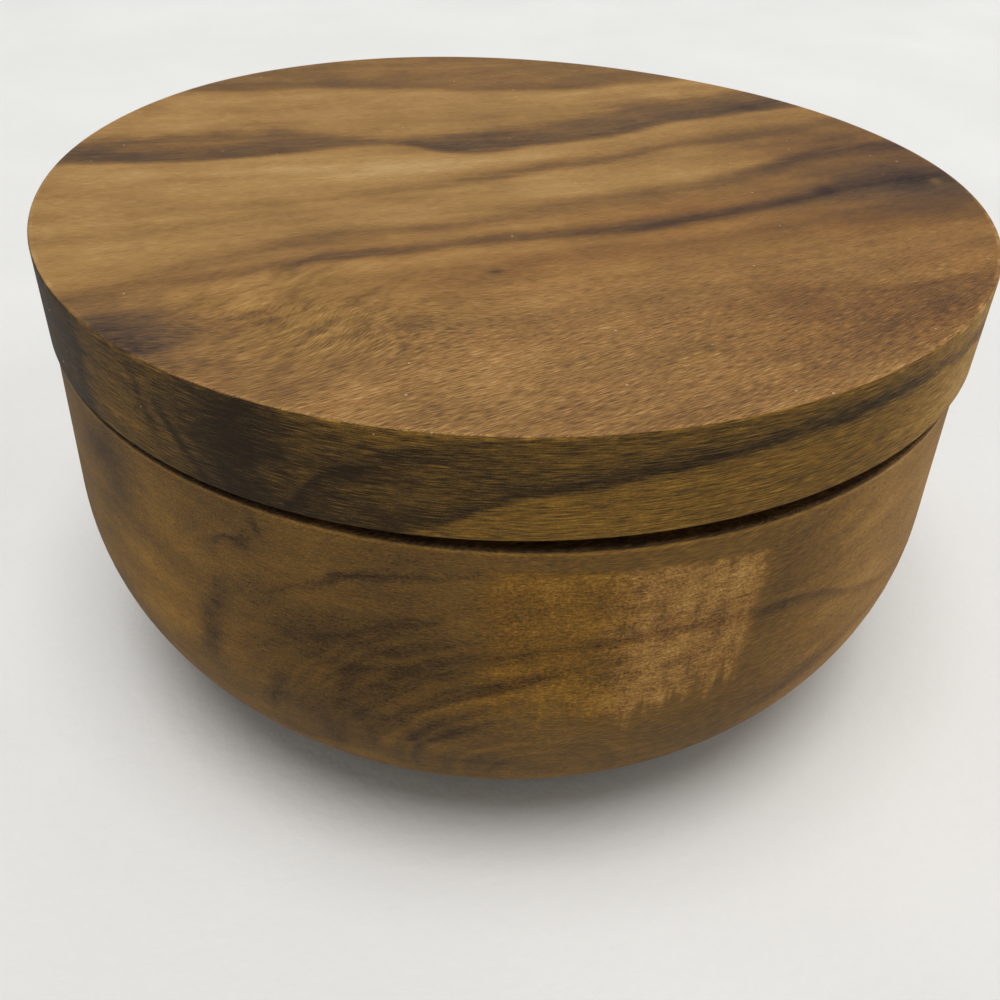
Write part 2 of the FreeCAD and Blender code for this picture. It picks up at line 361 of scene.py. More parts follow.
local = lid_points @ lid_axes
low, high = local.min(0), local.max(0)
lid_radius = (high - low)[:2].mean() / 2
lid_thick = high[2] - low[2]
lid_origin = lid_axes @ np.array([(low[0] + high[0]) / 2, (low[1] + high[1]) / 2, low[2]])
lid_turn = Matrix(lid_axes.tolist()).to_euler("XYZ")
print(f"lid radius {lid_radius / MM:.2f} mm, thickness {lid_thick / MM:.2f} mm, "
      f"leaning {np.degrees(np.arccos(lid_up[2])):.2f} degrees")

# %% [markdown]
# ## The lid
#
# The lid was sawn from a board, turned round and sanded, and it has dried a little since: it is
# twisted by three quarters of a millimetre, which is why the seam below it isn't even. It is a
# profile carried round the axis: from the middle of the underside out to the lower arris, up the
# edge, round the upper arris and back to the middle. A saddle in x and y then lifts two opposite
# sides and lowers the other two. The arris was broken by hand, so its width drifts round the rim.

# %% Lid surface
diagonal_twist, straight_twist = 0.7325, 0.15


def lid_twist(x, y):
    """The board's twist: a saddle whose high sides lie across the diagonal, in millimetres."""
    saddle = 2 * diagonal_twist * x * y + straight_twist * (x * x - y * y)
    return -saddle / (lid_radius / MM) ** 2


rim_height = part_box("bowl")[1][2] / MM
least_room = 0.12


def lid_surface(rounds=540, rings=22):
    """Grid of points round the lid, in its own frame in millimetres.

    One parameter runs round the rim and the other along the profile. The profile's flat stretches
    go out and in along a radius, its arrises are quarter circles whose radius drifts with the
    angle as a sum of three slow waves, and the twist is added to the height last. Where the rim
    below leaves less room than the twist needs, the underside goes down only to that room.
    """
    radius, thick = lid_radius / MM, lid_thick / MM
    round_ = np.linspace(0, 2 * np.pi, rounds, endpoint=False)[:, None]
    drift = np.sin(3 * round_ + 0.4) + 0.7 * np.sin(7 * round_ + 2.0) + 0.5 * np.sin(11 * round_)
    lower = 0.40 + 0.05 * drift
    upper = 0.45 + 0.09 * drift
    out = np.linspace(0, 1, rings)[None, 1:]
    bend = np.linspace(0, np.pi / 2, 7)[None, :]
    rise = np.linspace(0, 1, 14)[None, 1:-1]
    r = np.concatenate([
        (radius - lower) * out,
        radius - lower + lower * np.sin(bend)[:, 1:],
        radius + 0 * round_ * rise,
        radius - upper + upper * np.cos(bend),
        (radius - upper) * (1 - out)[:, :-1]], axis=1)
    z = np.concatenate([
        0 * round_ * out,
        lower - lower * np.cos(bend)[:, 1:],
        lower + (thick - upper - lower) * rise,
        thick - upper + upper * np.sin(bend),
        thick + 0 * round_ * out[:, :-1]], axis=1)
    x, y = r * np.cos(round_), r * np.sin(round_)
    twist = lid_twist(x, y)
    room = lid_axes[2, 0] * x + lid_axes[2, 1] * y + lid_origin[2] / MM - rim_height
    held = np.maximum(twist, least_room - np.maximum(room, least_room))
    share_up = np.clip(z / thick, 0, 1)
    return np.stack([x, y, z + held + (twist - held) * share_up], axis=-1)


def turned_mesh(name, grid, bottom, top):
    """Mesh of a grid that closes round its first axis, with a pole at each end of its second.

    Each cell of the grid is a four-sided face; the first and last rings are joined to a pole by
    triangles, and without a bottom the first ring stays open. The order of the corners turns the
    faces outwards.
    """
    rounds, rings = grid.shape[:2]
    index = np.arange(rounds * rings).reshape(rounds, rings)
    after = np.roll(index, -1, axis=0)
    cells = np.stack([index[:, :-1], after[:, :-1], after[:, 1:], index[:, 1:]], axis=-1)
    points, faces = grid.reshape(-1, 3).tolist() + [list(top)], cells.reshape(-1, 4).tolist()
    last = np.full(rounds, rounds * rings)
    faces += np.stack([last, index[:, -1], after[:, -1]], axis=-1).tolist()
    if bottom is not None:
        points.append(list(bottom))
        faces += np.stack([last + 1, after[:, 0], index[:, 0]], axis=-1).tolist()
    mesh = bpy.data.meshes.new(name)
    mesh.from_pydata(points, [], faces)
    mesh.validate()
    return mesh


def to_frame(points):
    """Points of the lid's own frame, in millimetres, as points of the cellar's frame in metres."""
    return (points @ lid_axes.T) * MM + lid_origin


grid = lid_surface()
thick = lid_thick / MM
lid_mesh = turned_mesh("lid_board", to_frame(grid), to_frame(np.zeros(3)),
                       to_frame(np.array([0.0, 0.0, thick])))
lid_board = bpy.data.objects.new("lid_board", lid_mesh)
bpy.context.scene.collection.objects.link(lid_board)
twist_range = np.ptp(lid_twist(grid[..., 0], grid[..., 1]))
print(f"lid: {len(lid_mesh.polygons)} faces, twist {twist_range:.2f} mm")

# %% [markdown]
# The underside has two bored holes, one that the pin is glued into and one for a magnet. A bored
# hole is what a Boolean is for: each cutter is a short turned rod, and the result is applied so
# that the lid is plain mesh again.

# %% Holes in the underside
def rod(name, centre, radius, depth, sides=64):
    """A closed rod along the lid's normal: a circle carried from one millimetre below to depth."""
    round_ = np.linspace(0, 2 * np.pi, sides, endpoint=False)
    ring = np.stack([np.cos(round_), np.sin(round_)], axis=-1) * radius
    ends = [np.column_stack([ring, np.full(sides, height)]) for height in (-1.0, depth)]
    points = (np.stack(ends, axis=1) @ lid_axes.T) * MM + centre
    mesh = turned_mesh(name, points, centre - lid_up * MM, centre + lid_up * depth * MM)
    piece = bpy.data.objects.new(name, mesh)
    bpy.context.scene.collection.objects.link(piece)
    return piece


def on_underside(node):
    """The point of the lid's flat underside on a node's axis."""
    off = middle(node) - lid_origin
    return lid_origin + off - lid_up * (off @ lid_up)


pin_low, pin_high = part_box("pivot_pin")
pin_radius = (pin_high.x - pin_low.x) / 2 / MM
magnet_low, magnet_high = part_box("lid_magnet")
magnet_radius = (magnet_high.x - magnet_low.x) / 2 / MM
clearance, glue_room, magnet_room = 0.1, 0.4, 0.02
pin_depth = (pin_high.z - on_underside("pivot_pin")[2]) / MM + glue_room
magnet_depth = (magnet_high.z - on_underside("lid_magnet")[2]) / MM + magnet_room
cutters = [
    rod("pin_cutter", on_underside("pivot_pin"), pin_radius + clearance, pin_depth),
    rod("magnet_cutter", on_underside("lid_magnet"), magnet_radius + clearance, magnet_depth)]
for cutter in cutters:
    hole = lid_board.modifiers.new(cutter.name, "BOOLEAN")
    hole.operation, hole.object, hole.solver = "DIFFERENCE", cutter, "EXACT"
bored = bpy.data.meshes.new_from_object(
    lid_board.evaluated_get(bpy.context.evaluated_depsgraph_get()))
lid_board.modifiers.clear()
lid_board.data = bored
bored.name = "lid_board"
for cutter in cutters:
    bpy.data.objects.remove(cutter)
bored.shade_smooth()
bored.set_sharp_from_angle(angle=np.radians(50))
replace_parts(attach(lid_board, "lid"), "lid")
print(f"lid after boring: {len(bored.polygons)} faces, "
      f"holes {pin_depth:.1f} and {magnet_depth:.1f} mm deep")

# %% [markdown]
# ## The lid's figure
#
# On the top the grain runs from side to side. A broad dark streak with a lighter island at its left
# end crosses the back half, a brown zone lies behind it, three thinner streaks cross the front
# half, and a burr curls the grain at the front left. The streaks are drawn in millimetres from the
# middle, and a slow wander takes the stiffness out of them. The fine grain has to flow
# along the streaks, so its place across the grain is measured from them. The growth layers go
# down into the board at a slant, so the figure also shifts sideways with depth.

# %% Lid figure: flow of the grain
lid_wood, (x, y, z) = new_finish("lid_wood", tuple(lid_origin), tuple(lid_turn))
z = z - lid_twist(x, y)
depth = z - thick
wander = noise(x / 46.0, y / 20.0, z / 20.0, 2.0, 0.5, 11.0) - 0.5
ripple = noise(x / 9.0, y / 4.5, z / 4.5, 3.0, 0.55, 5.0) - 0.5
across = y + depth * 0.8 + wander * 3.0 + ripple * 2.0

back_flow = drawn(x, [(-64, 22), (-33, 18), (-10, 16.4), (10, 15.6), (30, 18), (64, 24)])
middle_flow = drawn(x, [(-64, -20), (-30, -18), (0, -18.5), (20, -18.5), (42, -15), (64, -11)])
front_flow = drawn(x, [(-64, -66), (-40, -62), (-15, -58), (0, -55), (20, -50), (40, -44),
                       (64, -36)])
back_half = soft_step(across, -16.0, 16.0)
front_part = soft_step(across, -21.0, -50.0)
flow = middle_flow + 18.0 + (back_flow - 18.0 - middle_flow - 18.0) * back_half
flow = flow + (front_flow + 55.0 - flow) * front_part
straight = across - ripple * 1.6 - flow
print("flow of the grain drawn through three lines")

# %% [markdown]
# The burr is a twirl: near its middle the grain's own two places are turned about it, by most of a
# quarter turn at the heart and by nothing a few centimetres out.

# %% Lid figure: burr and fine grain
burr_x, burr_y = x + 35.0, across + 31.0
burr = patch(x, across, (-35.0, -31.0), (14.0, 11.0))
twirl = burr * (0.5 + wander * 1.4)
turn_cos, turn_sin = twirl.maths("COSINE"), twirl.maths("SINE")
along_grain = burr_x * turn_cos + burr_y * turn_sin
cross_grain = straight + (burr_y * turn_cos - burr_x * turn_sin - burr_y)
lid_bands, lid_fibres_and_glints, lid_relief = fine_grain(along_grain, cross_grain, depth)
broad = noise(along_grain / 70.0, cross_grain / 8.0, depth / 8.0, 2.0, 0.5, 2.0) - 0.5
cloud = noise(x / 12.0, y / 6.5, z / 6.5, 4.0, 0.62, 8.0) - 0.5
wisp_along, wisp_across = burr_x * 0.87 + burr_y * 0.5, burr_y * 0.87 - burr_x * 0.5
wisp_across = wisp_across + ripple * 5.0
burr_wisps = noise(wisp_along / 8.0, wisp_across / 1.7, depth / 2.0, 3.0, 0.6, 16.0) - 0.5
hue = noise(x / 16.0, y / 9.0, z / 9.0, 3.0, 0.6, 18.0) - 0.5
print("grain round the burr done")

# %% [markdown]
# The tone is a sum: a golden ground, minus each streak with its own strength along the board,
# minus or plus a few soft patches, plus the fine grain. The broad streak lies between two drawn
# lines, crisp at the lower one and wispy at the upper one; the others lie along one line each.
# Their darkness is roughened by short bands so that their edges break into fibres.

# %% Lid figure: the broad streak
short_bands = noise(along_grain / 11.0, cross_grain / 1.3, depth / 1.3, 3.0, 0.65, 4.0) - 0.5
rough = 1.0 + short_bands * 1.3
wisps = (noise(along_grain / 7.0, cross_grain / 1.6, depth / 1.6, 3.0, 0.6, 14.0) - 0.5) * 6.0
main_line = drawn(x, [(-64, 21), (-55, 20), (-48, 18.6), (-40, 17.4), (-33, 17), (-24, 18),
                      (-16, 18.2), (-11, 17.2), (-7, 13.6), (-3, 11.8), (3, 12), (12, 13),
                      (22, 14.6), (28, 16.6), (34, 18.6), (42, 20), (52, 21.2), (64, 22)])
main_top = drawn(x, [(-64, 30), (-52, 30.5), (-40, 31), (-30, 30), (-22, 26), (-15, 22.5),
                     (-8, 22.5), (0, 23), (10, 24.6), (20, 27), (30, 30), (45, 33), (64, 35)])
zone_share = share(x, [(-64, 1), (-46, 0.95), (-30, 0.8), (-18, 0.7), (-6, 0.9), (4, 1),
                       (14, 0.9), (26, 0.9), (40, 0.95), (64, 1)])
main_zone = (soft_step(across - main_line, -1.0, 1.6)
             * soft_step(across - main_top + wisps, 1.5, -4.5) * zone_share)
core_share = share(x, [(-64, 0.6), (-50, 0.9), (-40, 1), (-32, 0.9), (-20, 0.7), (-12, 0.8),
                       (-4, 0.9), (4, 0.7), (14, 0.5), (26, 0.8), (38, 0.4), (54, 0.3), (64, 0.3)])
main_core = streak(across - main_line - 2.0, 2.8, 1.8) * core_share
main_heads = (patch(x, across, (-56.0, 26.0), (9.0, 3.6), -10.0)
              + patch(x, across, (1.0, 17.5), (10.0, 4.5), 10.0) * 0.4
              + patch(x, across, (50.0, 25.0), (12.0, 3.2), 8.0) * 0.8)
island = patch(x, across, (-40.5, 24.0), (8.0, 2.6), -3.0)
hook = patch(x, across, (-11.0, 14.5), (3.6, 1.6), -25.0)
broad_streak = main_zone * 0.32 + main_core * 0.14 + main_heads * 0.10 - island * 0.10 + hook * 0.06
print("broad streak done")

# %% Lid figure: the thin streaks
back_line = drawn(x, [(-64, 50), (-40, 48.6), (-30, 47.6), (-20, 46.8), (-10, 45.2), (0, 43.4),
                      (10, 41), (22, 40), (36, 40), (50, 42), (64, 45)])
thin_line = drawn(x, [(-64, 3), (-45, 2), (-25, 0.8), (-10, 1.2), (0, 3), (10, 5), (20, 6.6),
                      (28, 8.4), (38, 9.6), (48, 11), (64, 14)])
upper_pair = drawn(x, [(-64, -17), (-50, -17.5), (-45, -15.5), (-38, -13.5), (-28, -12),
                       (-15, -11.6), (0, -10), (10, -8.6), (22, -7.9), (31, -6.4), (37, -4),
                       (44, -0.8), (52, 0.8), (64, 1)])
lower_pair = drawn(x, [(-64, -20), (-48, -19.5), (-38, -19.3), (-30, -18), (-20, -17.7), (-8, -18),
                       (2, -18.5), (10, -19.6), (20, -18.9), (28, -17.8), (36, -16.2), (42, -14.6),
                       (50, -13), (64, -12)])
back_zone = soft_step(across - back_line, -2.0, 2.0)
back_core = streak(across - back_line - 1.8, 3.2, 1.4) * share(
    x, [(-64, 0.8), (-30, 0.8), (-12, 0.5), (2, 0.3), (20, 0.3), (64, 0.1)])
thin = streak(across - thin_line, 2.6, 1.8) * share(
    x, [(-64, 0.1), (-40, 0.3), (-12, 0.55), (0, 0.95), (14, 0.9), (26, 0.8), (40, 0.5), (64, 0.4)])
upper = streak(across - upper_pair, 1.9, 2.4) * share(
    x, [(-64, 0.15), (-46, 0.4), (-30, 0.6), (-12, 0.55), (4, 0.6), (20, 0.75), (36, 0.9),
        (50, 0.9), (64, 0.7)])
lower = streak(across - lower_pair, 2.0, 1.5) * share(
    x, [(-64, 0.3), (-44, 0.4), (-30, 0.85), (-16, 0.8), (0, 0.85), (10, 1), (24, 0.9), (36, 0.6),
        (50, 0.2), (64, 0.1)])
thin_streaks = back_core * 0.16 + thin * 0.29 + upper * 0.33 + lower * 0.38
print("thin streaks done")

# %% Lid figure: patches and ground
purple = patch(x, across, (56.0, -15.0), (16.0, 8.0), 4.0)
left_rim = patch(x, across, (-55.0, -30.0), (9.0, 6.5), -40.0)
between = patch(x, across, (24.0, -14.0), (28.0, 5.0), 4.0)
below = patch(x, across, (22.0, -25.0), (46.0, 6.5), 2.0)
right_brown = patch(x, across, (48.0, 9.0), (22.0, 6.0), 6.0)
front_right = (patch(x, across, (30.0, -48.0), (24.0, 9.0), 4.0)
               + patch(x, across, (35.0, -44.4), (11.0, 1.2), -4.0) * 0.6)
left_brown = patch(x, across, (-46.0, -2.0), (20.0, 5.0), -2.0)
pale = (patch(x, across, (12.0, 10.0), (34.0, 3.4), 4.0)
        + patch(x, across, (-47.0, 12.0), (9.0, 4.0)) * 0.6
        + patch(x, across, (-16.0, 5.0), (40.0, 9.0)))
right_shade = soft_step(x, 22.0, 58.0) * bell((across + 6.0) / 22.0)
# the fibres' painted glints are stronger towards the front of the lid
tone = (0.76 + broad * 0.30 + cloud * 0.44 + lid_bands + lid_fibres_and_glints * (0.5 + front_part * 0.9)
        + pale * 0.08 - back_zone * 0.20 - right_shade * 0.28
        - (broad_streak + thin_streaks + purple * 0.28 + left_rim * 0.52) * rough
        - between * 0.15 - below * 0.17 - right_brown * 0.12 - front_right * 0.17
        - left_brown * 0.08 - burr * (0.08 - burr_wisps * 1.1) - front_part * 0.10)
print("ground and patches done")

# %% [markdown]
# ## The lid's edge
#
# The edge was cut across and along the same growth layers, so the streaks come round it as slanting
# bands. One long band climbs from the underside near the front left and then runs level under the
# upper arris; the wood below it is olive gold. The place round the edge is an angle in degrees,
# zero at the front and growing to the right, so its seam lies at the back beside the pin. The
# lathe left fine level lines all round, and their glints are painted into the colour as paler
# lines.

# %% Lid figure: bands on the edge
angle = angle_round(x, y)
radius_here = (x * x + y * y).maths("SQRT")
inset = lid_radius / MM - radius_here
on_edge = soft_step(inset - z.maths("MINIMUM", thick - z), 0.12, -0.12)
sway = (noise(x / 5.5, y / 5.5, z / 2.5, 3.0, 0.55, 6.0) - 0.5) * 1.6
height = z + sway
rising = drawn(angle, [(-180, 3), (-110, 4), (-70, -6), (-40, -6), (-32, -0.6), (-29, 0.9),
                       (-25, 2.6), (-21.5, 4.6), (-18, 5.7), (-14, 6.5), (-10, 7.1), (-5, 7.9),
                       (0, 8.4), (5, 8.8), (15, 9.0), (25, 9.0), (33, 8.5), (42, 7.2), (60, 5),
                       (90, 4.5), (130, 6), (180, 3)], 360.0, 30.0)
band = streak(height - rising, 1.5, 0.55) * share(
    angle, [(-180, 0.4), (-110, 0.5), (-60, 0.3), (-40, 0.5), (-28, 0.95), (0, 1), (20, 1), (36, 1),
            (70, 0.6), (120, 0.6), (180, 0.4)], 360.0)
over_band = soft_step(height - rising, -0.3, 2.2)
arc = drawn(angle, [(-180, -4), (-60, -4), (-44, -3), (-41, 0.2), (-37, 5.4), (-33, 8.2),
                    (-30, 9.7), (-25, 11), (-18, 12), (0, 14), (180, 14)], 360.0, 30.0)
arc_line = streak(height - arc, 0.5, 1.6) * share(
    angle, [(-180, 0), (-50, 0), (-43, 0.6), (-36, 0.9), (-29, 0.6), (-20, 0.2), (-8, 0),
            (180, 0)], 360.0)
wedge = soft_step(height - arc, 0.8, -0.8) * over_band * share(
    angle, [(-180, 0), (-48, 0), (-40, 0.8), (-26, 0.7), (-16, 0.2), (0, 0), (180, 0)], 360.0)
upright_dark = bell((angle + 45.5 + sway) / 5.0)
grey_end = soft_step(angle + sway * 1.5, -66.0, -69.0) * soft_step(angle, -92.0, -80.0)
first_stripe = bell((angle + 56.8 + (height - 6.0) * 0.35) / 0.75) * soft_step(height, 1.5, 4.0)
second_stripe = bell((angle + 52.6 + (height - 4.5) * 0.75) / 0.75) * soft_step(height, 8.2, 6.5)
gold_end = patch(angle, height, (-62.0, 4.0), (5.5, 5.0))
# lathe lines with painted glints: paler level lines in the colour stand in for light caught on
# them; the bump uses the same lines
lathe_and_glints = noise(x / 2.4, y / 2.4, z / 0.085, 2.0, 0.65, 9.0) - 0.5
edge_rough = 1.0 + (rough - 1.0) * 0.35
# painted light and shade: the edge is lighter and less olive on the right, where the light falls,
# and darker on the left
right_edge_lit = soft_step(angle, 12.0, 40.0) * soft_step(angle, 150.0, 110.0)
left_edge_shade = soft_step(angle, -24.0, -40.0) * soft_step(angle, -170.0, -120.0)
edge_tone = (0.46 + (noise(x / 33.0, y / 33.0, z / 2.4, 3.0, 0.55, 12.0) - 0.5) * 0.4
             + lathe_and_glints * 1.7 + lid_bands * 0.6 + lid_fibres_and_glints * 0.5 + gold_end * 0.12
             + right_edge_lit * 0.38 - left_edge_shade * 0.12
             - (band * 0.34 + arc_line * 0.20 + wedge * 0.17 + upright_dark * 0.32 + grey_end * 0.22
                + first_stripe * 0.14 + second_stripe * 0.20) * edge_rough - over_band * 0.09)
print("edge bands done")

# %% [markdown]
# The last marks are wear and painted light. The sanded arris shows paler wood where it has been
# knocked, with a painted highlight along it that is stronger on the right, and a little dust lies
# on the top: a few specks a tenth of a millimetre across. Oil fills the dark streaks more than the
# pale ground, so these shine a little more.

# %% Lid finish
corner = inset + thick - z
# paler knocked wood on the arris plus a painted highlight along it
knocked_and_highlit = soft_step(corner, 0.75, 0.45) * (0.25 + soft_step(
    noise(x / 2.4, y / 2.4, z * 0.0, 3.0, 0.6, 21.0), 0.44, 0.62))
speck_place = x.node("ShaderNodeCombineXYZ", None, {0: x / 4.2, 1: y / 4.2, 2: z / 4.2})
speck_near = speck_place.node("ShaderNodeTexVoronoi", None, {"Vector": speck_place, "Scale": 1.0})
specks = soft_step(speck_near, 0.045, 0.022)
pale_knot = patch(x, y, (58.0, -15.3), (1.5, 0.9), 60.0)
small_knots = (patch(x, y, (-11.9, -26.6), (0.9, 0.6))
               + patch(x, y, (40.5, -14.0), (2.2, 1.6), 40.0) * 0.7)
lid_tone = tone - small_knots * 0.30 + pale_knot * 0.32
# the arris's painted highlight is stronger on the right, where the light falls
right_arris_highlight = soft_step(angle, 5.0, 40.0) * soft_step(angle, 150.0, 110.0)
lid_tone = lid_tone + (edge_tone - lid_tone) * on_edge + knocked_and_highlit * (0.09 + right_arris_highlight * 0.12)
redness = (soft_step(across, -2.0, -30.0) * 0.40 + between * 0.4 + front_right * 0.4 + island * 0.4
           + below * 0.3 + right_shade * 0.7 + back_zone * 0.1 + hue * 0.9
           - purple * 0.9 - left_rim * 0.7 - burr * 0.25) * (1.0 - on_edge) + on_edge * 0.2
olive = on_edge * (1.0 - right_edge_lit * 0.6) + (burr * 0.2 - hue * 0.6) * (1.0 - on_edge)
colour = wood_colour(lid_tone, redness, olive)
colour = blend(colour, tint(200, 182, 152), specks * 0.8)
relief = lid_relief + lathe_and_glints * on_edge * 0.05 + specks * 0.03
finish(lid_wood, colour, 0.60 + lid_tone * 0.14, relief, Specular_IOR_Level=0.08)
lid_board.data.materials.clear()
lid_board.data.materials.append(lid_wood)

# %% [markdown]
# ## The bowl
#
# The bowl was turned from one block, with its grain running level from side to side, so the growth
# layers show as arches on the front and back and as level stripes on the flanks. The CAD solid has
# the right shape, hollow, groove and seats, so it stays and only gets its finish.

# %% Bowl figure
bowl_wood, (x, y, z) = new_finish("bowl_wood")
angle = angle_round(x, y)
radius_here = (x * x + y * y).maths("SQRT")
drop = rim_height - z
wander = noise(x / 40.0, y / 26.0, z / 18.0, 2.0, 0.5, 31.0) - 0.5
ripple = noise(x / 10.0, y / 8.0, z / 5.0, 3.0, 0.55, 33.0) - 0.5
layers = (((z + 42.0) ** 2.0 + ((y + 20.0) * 0.55) ** 2.0).maths("SQRT")
          - x * 0.10 + wander * 5.0 + ripple * 2.0)
bowl_bands, bowl_fibres_and_glints, bowl_relief = fine_grain(x, layers, y * 0.5)
broad = noise(x / 60.0, layers / 6.0, y / 50.0, 2.0, 0.5, 35.0) - 0.5
cloud = noise(x / 14.0, y / 14.0, z / 8.0, 3.0, 0.6, 37.0) - 0.5
rough = 1.0 + (noise(x / 10.0, layers / 1.1, y / 12.0, 3.0, 0.65, 39.0) - 0.5) * 1.4
sway = ripple * 4.0

level_line = drawn(angle, [(-90, 16), (-22, 15.5), (-14, 13.6), (-6, 12.9), (2, 12.8), (10, 13.2),
                           (16, 14.4), (22, 17.2), (29, 20), (40, 23), (90, 30)], 180.0, 80.0)
level_streak = streak(level_line - drop - sway * 0.3, 0.5, 1.1) * share(
    angle, [(-90, 0), (-30, 0), (-20, 0.3), (-10, 0.7), (4, 0.9), (16, 0.8), (28, 0.6), (45, 0.3),
            (90, 0)], 180.0)
slant_line = drawn(angle, [(-90, 40), (-40, 34), (-28, 24.5), (-22, 21), (-18, 19.4), (-12, 17.2),
                           (-4, 15), (90, 10)], 180.0, 80.0)
slant_streak = streak(slant_line - drop - sway * 0.3, 1.3, 0.5) * share(
    angle, [(-90, 0), (-40, 0), (-31, 0.2), (-25, 0.6), (-19, 0.9), (-13, 0.4), (-8, 0),
            (90, 0)], 180.0)
print("bowl figure: two drawn streaks over bent growth layers")

# %% [markdown]
# On the front left, dark strokes mark an old branch: a knot with twigs near the rim, a long dark
# patch in the curve, and arches of growth lines to the right of it. Each stroke is a narrow patch,
# given by its angle round the bowl, its depth below the rim, its half-length and half-width, the
# way it leans, and its strength.

# %% Bowl marks: the old branch
strokes = [(-46.0, 5.8, 1.7, 1.1, -30, 1.0), (-48.5, 6.8, 3.2, 0.55, -32, 0.8),
           (-44.2, 2.3, 2.2, 0.5, 71, 0.8), (-40.5, 9.6, 4.0, 0.6, -22, 0.6),
           (-35.3, 6.9, 3.0, 0.7, -20, 1.0), (-28.0, 4.6, 7.0, 0.7, -14, 0.8),
           (-50.2, 16.0, 3.6, 1.3, 114, 1.0), (-52.0, 23.0, 4.8, 1.4, 93, 1.0),
           (-35.0, 22.5, 3.0, 1.2, 105, 0.7), (-37.0, 15.4, 4.0, 0.6, -26, 0.3),
           (-28.0, 11.0, 7.0, 0.5, -24, 0.4), (-34.0, 19.9, 5.0, 0.6, -27, 0.3),
           (-26.5, 16.7, 4.5, 0.6, -20, 0.3), (-33.0, 32.0, 5.0, 0.8, 85, 0.5),
           (-28.0, 31.0, 4.0, 0.7, 78, 0.5), (-44.0, 27.5, 3.6, 0.9, 110, 0.7),
           (-38.0, 34.0, 5.0, 1.0, 96, 0.5), (-68.0, 3.5, 5.0, 2.2, -20, 0.8),
           (-66.0, 9.5, 3.6, 2.0, -30, 0.6), (11.5, 8.0, 5.0, 2.4, 90, 0.4),
           (17.0, 29.0, 9.0, 1.6, -22, 0.6)]
swayed = drop + ripple * 3.0 + (noise(x / 2.4, y / 2.4, z / 1.4, 2.0, 0.6, 42.0) - 0.5) * 2.0
branch = drawn_strokes(angle + ripple * 2.0, swayed, strokes)
brown_zone = patch(angle, drop, (-33.0, 20.0), (15.0, 13.0))
# painted light: the bowl's right side is painted lighter, more golden and less olive, where the
# light falls on it
right_side_lit = soft_step(angle, 6.0, 28.0) * soft_step(angle, 150.0, 100.0)
# golden holds the wood's own golden patches and also the painted light on the bowl's right side
golden = (patch(angle, drop, (-59.0, 22.0), (6.0, 16.0))
          + patch(angle, swayed, (-38.5, 10.2), (4.0, 2.2), -15.0) * 0.8 + right_side_lit * 2.0)
arch_place = (((angle + 14.0) * 0.95) ** 2.0 + (drop - 38.0) ** 2.0).maths("SQRT") + ripple * 3.0
arches = noise(arch_place / 1.5, angle / 40.0, z * 0.0, 3.0, 0.55, 41.0) - 0.5
arch_mask = (patch(angle, drop, (-28.0, 24.0), (16.0, 12.0))
             + patch(angle, drop, (-12.0, 36.0), (18.0, 8.0)) * 0.7)
print(f"{len(strokes)} strokes drawn")

# %% [markdown]
# The back has no branch, only long level streaks. They are drawn the same way, with the angle
# measured from the back so that none of them meets the seam of the other angle.

# %% Bowl marks: streaks at the back
behind = angle_round(-x, -y)
back_strokes = [(-34.0, 9.0, 24.0, 0.9, 7, 0.8), (28.0, 13.0, 27.0, 1.1, -5, 0.9),
                (-52.0, 24.0, 16.0, 0.9, 12, 0.7), (40.0, 27.0, 20.0, 1.3, -14, 0.8),
                (-4.0, 33.0, 18.0, 1.0, 4, 0.6), (66.0, 8.0, 12.0, 0.8, -8, 0.6),
                (-74.0, 15.0, 13.0, 1.2, 10, 0.8), (-8.0, 19.0, 13.0, 0.7, -9, 0.6),
                (12.0, 4.5, 16.0, 0.7, 3, 0.5)]
back_streaks = drawn_strokes(behind + ripple * 4.0, swayed, back_strokes)
print(f"{len(back_strokes)} streaks at the back")

# %% [markdown]
# On the front, a rectangle of the wall is paler and grainy: something stuck there once and took the
# oil with it when it came off. Its left part is only a little paler, its right part is bare and
# pitted; its edges are ragged, and lower down it is worn through in upright strips. The dark
# streak shows through it.

# %% Bowl marks: the bare rectangle
ragged = (noise(angle / 1.6, drop / 1.6, z * 0.0, 4.0, 0.65, 43.0) - 0.5) * 3.6
strips = noise(angle / 1.3, drop / 24.0, z * 0.0, 3.0, 0.6, 44.0) - 0.5
fringe = patch(angle, drop, (-7.0, 22.0), (4.5, 9.0)) * 4.0
bare = (soft_step(angle + ragged, -24.0, -18.0)
        * soft_step(angle + drop * 0.06 + ragged * 0.7, 9.2, 6.8)
        * soft_step(drop + ragged - angle * 0.05, 3.0, 4.4)
        * soft_step(drop + ragged * 1.5 + strips * 24.0 - fringe, 25.0, 19.5))
bare_right = bare * soft_step(angle + ragged * 2.2, -11.0, -4.0)
grainy = noise(x / 0.34, y / 0.34, z / 0.26, 3.0, 0.75, 45.0) - 0.5
patchy = noise(x / 5.0, y / 5.0, z / 4.0, 3.0, 0.6, 46.0) - 0.5
pitted = noise(x / 0.8, y / 0.8, z / 0.8, 3.0, 0.7, 48.0)
flecks = soft_step(pitted, 0.54, 0.64) * bell((angle + 7.5) / 4.0)
bared = (bare * (0.10 + grainy * 1.0 + patchy * 0.45 - flecks * 0.16)
         + bare_right * (0.11 + grainy * 0.3 + patchy * 0.3 + strips * 0.4))
print("bare rectangle done")

# %% Bowl tone
tool_lines = noise(x / 1.8, y / 1.8, z / 0.17, 2.0, 0.65, 47.0) - 0.5
outside = soft_step(radius_here, 53.0, 56.0) * soft_step(drop, -0.2, 0.1)
# painted highlight: a thin pale line along the rim's outer arris, where light catches it below the
# lid's seam
rim_arris_highlight = bell((drop - 0.55) / 0.22) * soft_step(radius_here, 61.0, 62.0)
